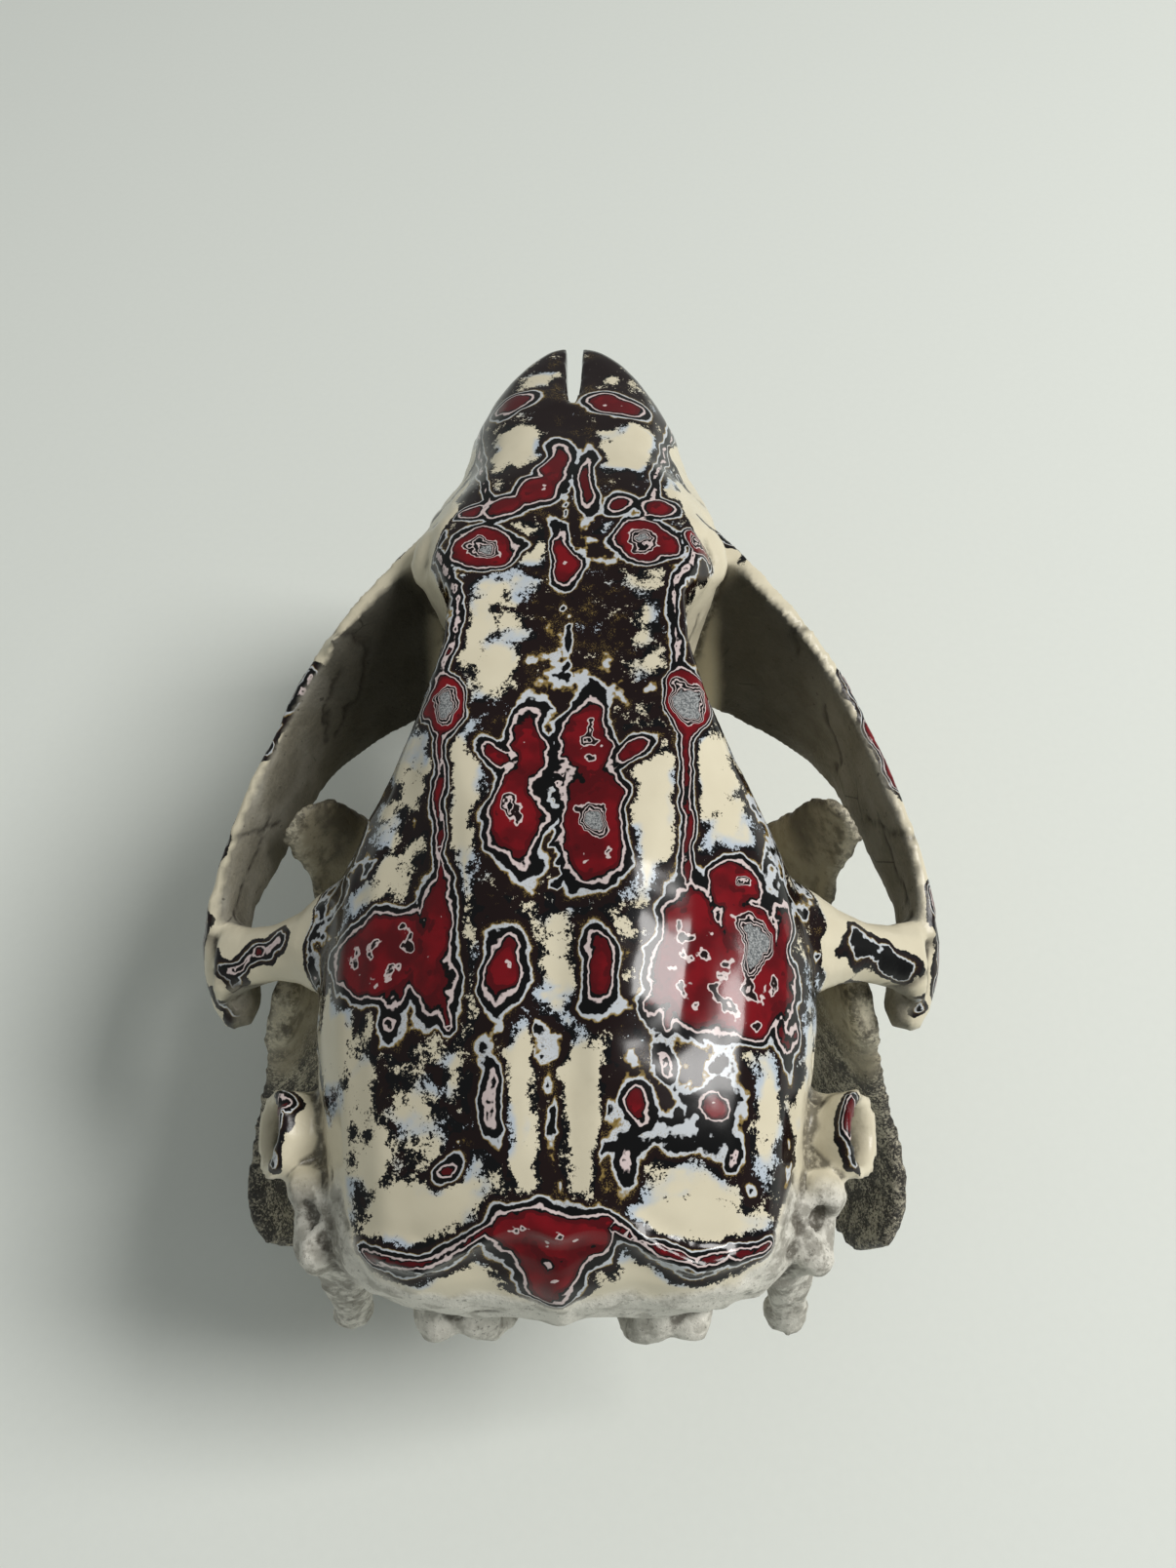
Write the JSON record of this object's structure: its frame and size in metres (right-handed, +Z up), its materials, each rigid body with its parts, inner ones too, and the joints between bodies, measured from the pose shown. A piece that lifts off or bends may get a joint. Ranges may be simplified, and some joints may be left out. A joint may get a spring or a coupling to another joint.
{
  "type": "beaver skull",
  "caption": "Beaver skull on its closed lower jaw, with gnawing teeth, wide cheek arches and a polished layered-lacquer vault with topographic bands.",
  "frame": {"origin": "middle of the bounding box's underside, on the table under the jaw", "axes": "+Y towards the nose, +X the skull's right side, +Z up from the table"},
  "size_m": [0.0906, 0.1304, 0.0807],
  "materials": {
    "lacquered_bone": "glossy layered lacquer over bone",
    "raw_jaw_bone": "rough dark speckled bone",
    "incisor_enamel": "smooth orange enamel",
    "cheek_tooth": "satin ivory"
  },
  "bodies": {
    "root": {"cranium": "lacquered_bone", "mandible_right": "raw_jaw_bone", "upper_incisor_right": "incisor_enamel", "upper_premolar_right": "cheek_tooth", "upper_molar_1_right": "cheek_tooth", "upper_molar_2_right": "cheek_tooth", "upper_molar_3_right": "cheek_tooth", "lower_incisor_right": "incisor_enamel", "lower_premolar_right": "cheek_tooth", "lower_molar_1_right": "cheek_tooth", "lower_molar_2_right": "cheek_tooth", "lower_molar_3_right": "cheek_tooth", "mandible_left": "raw_jaw_bone", "upper_incisor_left": "incisor_enamel", "upper_premolar_left": "cheek_tooth", "upper_molar_1_left": "cheek_tooth", "upper_molar_2_left": "cheek_tooth", "upper_molar_3_left": "cheek_tooth", "lower_incisor_left": "incisor_enamel", "lower_premolar_left": "cheek_tooth", "lower_molar_1_left": "cheek_tooth", "lower_molar_2_left": "cheek_tooth", "lower_molar_3_left": "cheek_tooth"}
  },
  "joints": []
}
